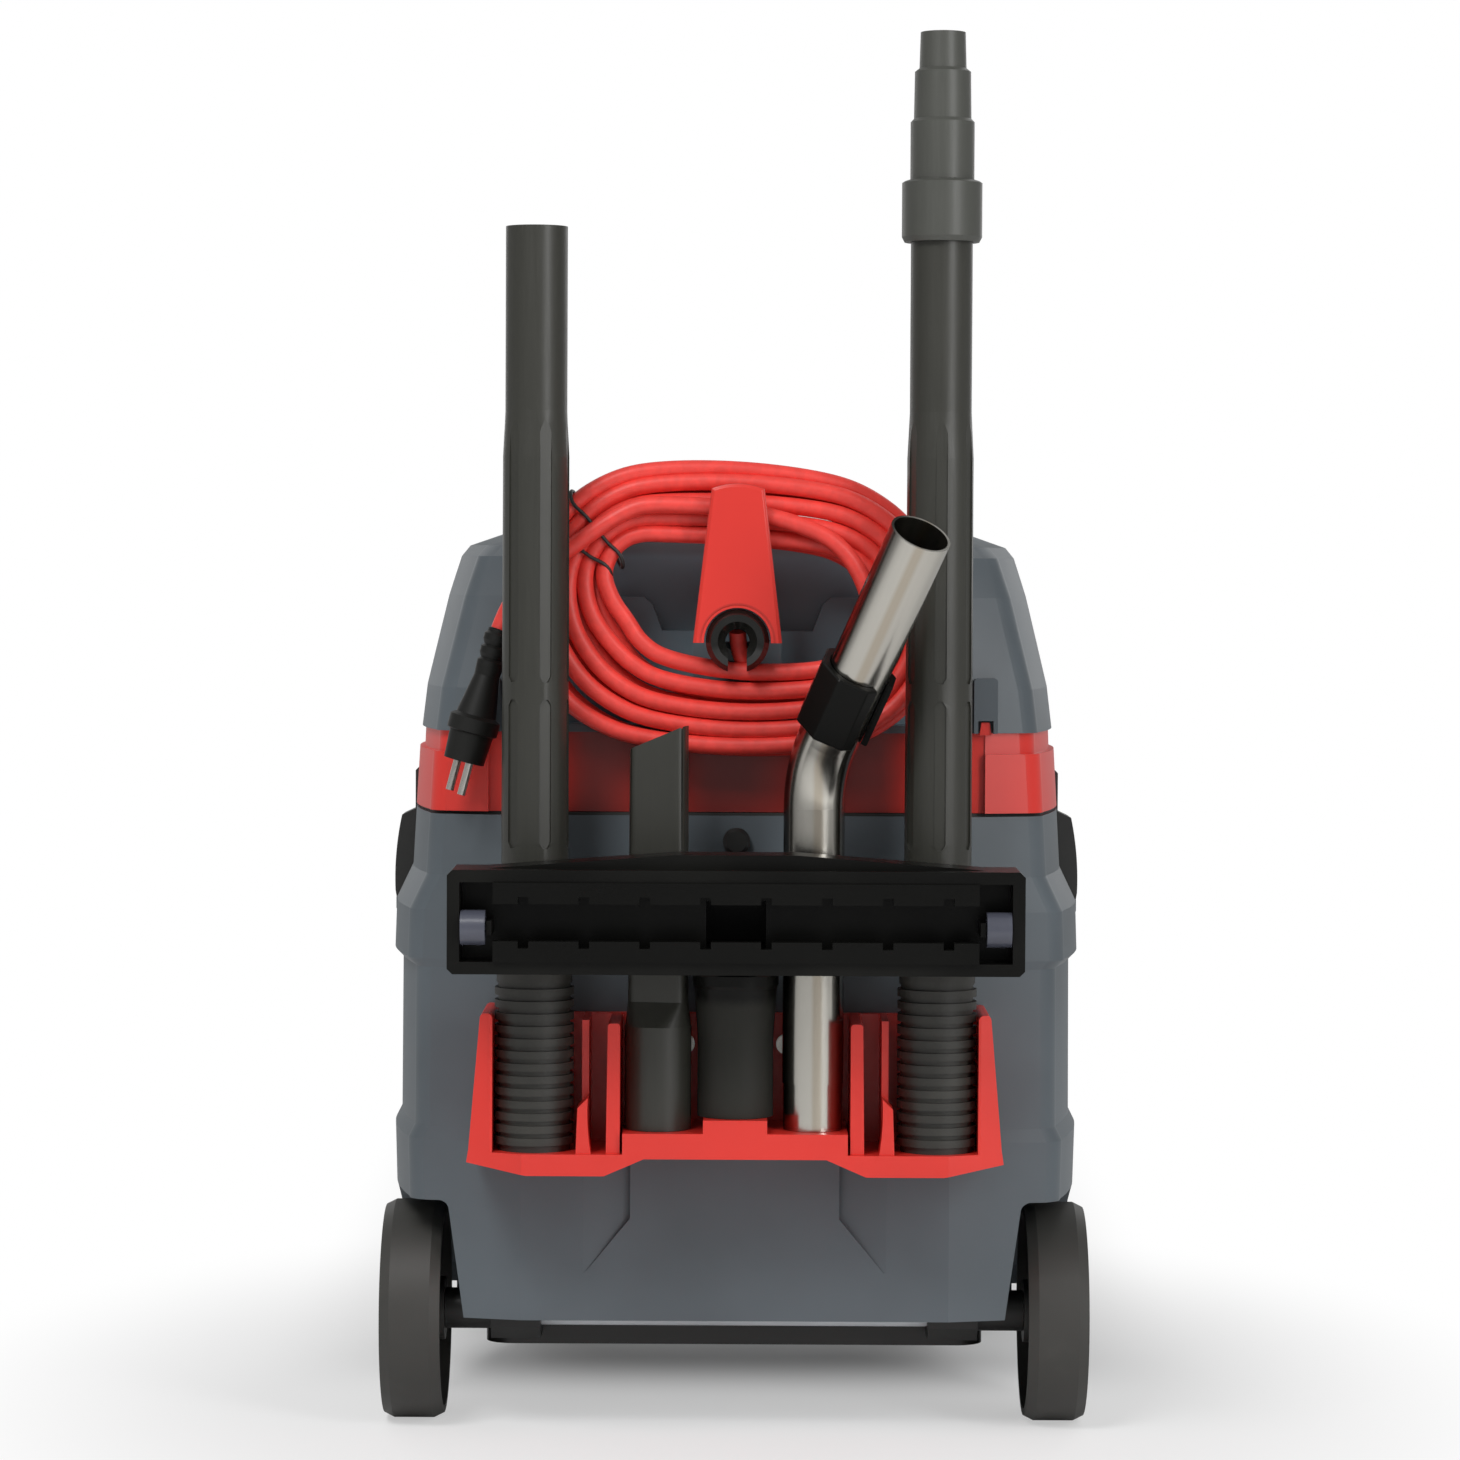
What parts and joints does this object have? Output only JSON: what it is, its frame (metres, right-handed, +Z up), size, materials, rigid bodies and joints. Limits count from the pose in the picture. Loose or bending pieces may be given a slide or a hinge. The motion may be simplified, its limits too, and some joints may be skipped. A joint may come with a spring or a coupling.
{
  "type": "shop vacuum",
  "caption": "Wheeled wet and dry shop vacuum with lift-off motor head, wound power cord and a rear holder with suction tubes and nozzles.",
  "frame": {"origin": "on the floor below the middle of the machine without its cord", "axes": "+Z up, -Y towards the back where the tools are parked, +X to the right of a person who looks at the back"},
  "size_m": [0.4276, 0.5835, 0.826],
  "materials": {
    "black_plastic": "satin",
    "copper": "wound motor",
    "cord_red": "satin",
    "filter_paper": "pleated paper",
    "grey_plastic": "fine moulded grain",
    "red_plastic": "satin",
    "rubber": "matt",
    "steel": "brushed",
    "tube_plastic": "matt"
  },
  "bodies": {
    "tank": {"tank_shell": "grey_plastic", "tank_seal": "rubber", "rear_button": "black_plastic", "hose_inlet": "black_plastic", "tool_holder": "red_plastic", "holder_screws": "steel", "left_sleeve": "rubber", "right_sleeve": "rubber", "chassis_frame": "black_plastic", "rear_axle": "steel", "latch_pins": "steel", "left_axle_bracket": "black_plastic", "right_axle_bracket": "black_plastic", "left_axle_cap": "black_plastic", "right_axle_cap": "black_plastic"},
    "head": {"head_ring": "red_plastic", "motor_deck": "black_plastic", "hood": "grey_plastic", "carry_handle": "black_plastic", "cord_hook": "red_plastic", "cord_grommet": "rubber", "cord_coil": "cord_red", "cord_tail": "cord_red", "plug_lead": "cord_red", "plug": "rubber", "plug_pins": "steel", "cord_ties": "black_plastic", "fan_housing": "black_plastic", "motor_body": "copper", "filter_cage": "black_plastic", "filter_cartridge": "filter_paper", "tool_socket": "black_plastic"},
    "turbine": {"impeller": "steel", "motor_shaft": "steel"},
    "switch": {"switch_knob": "red_plastic"},
    "suction": {"suction_knob": "black_plastic"},
    "outlet_cover": {"socket_lid": "black_plastic"},
    "left_tube_body": {"left_tube": "tube_plastic"},
    "right_tube_body": {"right_tube": "tube_plastic"},
    "adaptor": {"step_adaptor": "black_plastic"},
    "crevice": {"crevice_nozzle": "tube_plastic"},
    "nozzle": {"floor_nozzle": "black_plastic", "nozzle_lips": "rubber"},
    "hand_pipe": {"hand_tube": "steel"},
    "slider_ring": {"air_slider": "black_plastic"},
    "left_wheel": {"left_rear_wheel": "black_plastic"},
    "left_fork": {"left_caster_fork": "black_plastic", "left_caster_pin": "steel"},
    "left_caster": {"left_caster_wheel": "rubber"},
    "left_latch_lever": {"left_latch": "black_plastic"},
    "left_roller": {"left_nozzle_roller": "black_plastic"},
    "right_wheel": {"right_rear_wheel": "black_plastic"},
    "right_fork": {"right_caster_fork": "black_plastic", "right_caster_pin": "steel"},
    "right_caster": {"right_caster_wheel": "rubber"},
    "right_latch_lever": {"right_latch": "black_plastic"},
    "right_roller": {"right_nozzle_roller": "black_plastic"}
  },
  "joints": [
    {"name": "left_wheel_spin", "type": "hinge", "parent": "tank", "child": "left_wheel", "pos_m": [-0.1935, -0.078, 0.066], "axis": [1, 0, 0], "continuous": true},
    {"name": "left_caster_swivel", "type": "hinge", "parent": "tank", "child": "left_fork", "pos_m": [-0.152, 0.252, 0.07], "axis": [0, 0, 1], "continuous": true},
    {"name": "left_caster_spin", "type": "hinge", "parent": "left_fork", "child": "left_caster", "pos_m": [-0.152, 0.266, 0.027], "axis": [1, 0, 0], "continuous": true},
    {"name": "left_latch_swing", "type": "hinge", "parent": "tank", "child": "left_latch_lever", "pos_m": [-0.2065, 0.032, 0.306], "axis": [0, -1, 0], "range_deg": [0, 75]},
    {"name": "left_roller_spin", "type": "hinge", "parent": "nozzle", "child": "left_roller", "pos_m": [-0.1485, -0.272, 0.3133], "axis": [1, 0, 0], "continuous": true},
    {"name": "right_wheel_spin", "type": "hinge", "parent": "tank", "child": "right_wheel", "pos_m": [0.1935, -0.078, 0.066], "axis": [1, 0, 0], "continuous": true},
    {"name": "right_caster_swivel", "type": "hinge", "parent": "tank", "child": "right_fork", "pos_m": [0.152, 0.252, 0.07], "axis": [0, 0, 1], "continuous": true},
    {"name": "right_caster_spin", "type": "hinge", "parent": "right_fork", "child": "right_caster", "pos_m": [0.152, 0.266, 0.027], "axis": [1, 0, 0], "continuous": true},
    {"name": "right_latch_swing", "type": "hinge", "parent": "tank", "child": "right_latch_lever", "pos_m": [0.2065, 0.032, 0.306], "axis": [0, 1, 0], "range_deg": [0, 75]},
    {"name": "right_roller_spin", "type": "hinge", "parent": "nozzle", "child": "right_roller", "pos_m": [0.1485, -0.272, 0.3133], "axis": [1, 0, 0], "continuous": true},
    {"name": "head_lift", "type": "slide", "parent": "tank", "child": "head", "axis": [0, 0, 1], "range_m": [0, 0.14]},
    {"name": "turbine_spin", "type": "hinge", "parent": "head", "child": "turbine", "pos_m": [0, 0.067, 0.396], "axis": [0, 0, 1], "continuous": true},
    {"name": "switch_turn", "type": "hinge", "parent": "head", "child": "switch", "pos_m": [-0.075, 0.26, 0.47], "axis": [0, 1, 0], "range_deg": [-90, 90]},
    {"name": "suction_turn", "type": "hinge", "parent": "head", "child": "suction", "pos_m": [0.075, 0.26, 0.47], "axis": [0, 1, 0], "range_deg": [0, 270]},
    {"name": "outlet_lid_swing", "type": "hinge", "parent": "head", "child": "outlet_cover", "pos_m": [0, 0.2628, 0.4934], "axis": [1, 0, 0], "range_deg": [0, 100]},
    {"name": "left_tube_lift", "type": "slide", "parent": "tank", "child": "left_tube_body", "axis": [0, 0, 1], "range_m": [0, 0.12]},
    {"name": "right_tube_lift", "type": "slide", "parent": "tank", "child": "right_tube_body", "axis": [0, 0, 1], "range_m": [0, 0.12]},
    {"name": "adaptor_pull", "type": "slide", "parent": "right_tube_body", "child": "adaptor", "axis": [0, 0, 1], "range_m": [0, 0.06]},
    {"name": "crevice_lift", "type": "slide", "parent": "tank", "child": "crevice", "axis": [0, 0, 1], "range_m": [0, 0.08]},
    {"name": "nozzle_lift", "type": "slide", "parent": "tank", "child": "nozzle", "axis": [0, 0, 1], "range_m": [0, 0.03]},
    {"name": "hand_pipe_lift", "type": "slide", "parent": "tank", "child": "hand_pipe", "axis": [0, 0, 1], "range_m": [0, 0.1]},
    {"name": "air_ring_turn", "type": "hinge", "parent": "hand_pipe", "child": "slider_ring", "pos_m": [0.06275, -0.22016, 0.44187], "axis": [0.3446, -0.4691, 0.8131], "range_deg": [-60, 60]}
  ]
}
